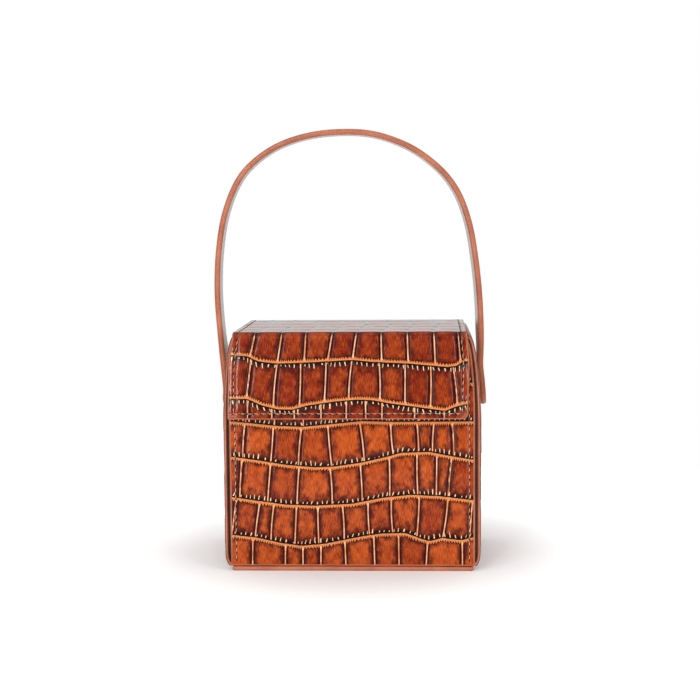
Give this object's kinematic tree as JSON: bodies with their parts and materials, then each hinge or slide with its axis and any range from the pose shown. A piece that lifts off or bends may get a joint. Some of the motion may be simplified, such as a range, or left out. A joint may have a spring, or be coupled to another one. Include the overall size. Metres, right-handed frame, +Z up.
{
  "type": "box bag",
  "caption": "Small rigid box bag in crocodile-embossed leather, with a fold-over front flap, bowed side gussets and an arched flat strap handle.",
  "frame": {"origin": "middle of the underside of the base, where the bag rests", "axes": "+Z up, -Y towards the front panel and flap, +X towards the gusset at the viewer's right"},
  "size_m": [0.1757, 0.1042, 0.2768],
  "materials": {
    "croc_leather": "glossy crocodile-embossed cognac with burnt edges",
    "plain_leather": "smooth tan",
    "magnet_steel": "satin"
  },
  "bodies": {
    "root": {"base_panel": "plain_leather", "front_panel": "croc_leather", "back_lid_flap": "croc_leather", "gusset_right": "croc_leather", "gusset_left": "croc_leather", "closure_magnet": "magnet_steel", "handle_strap": "croc_leather"}
  },
  "joints": []
}
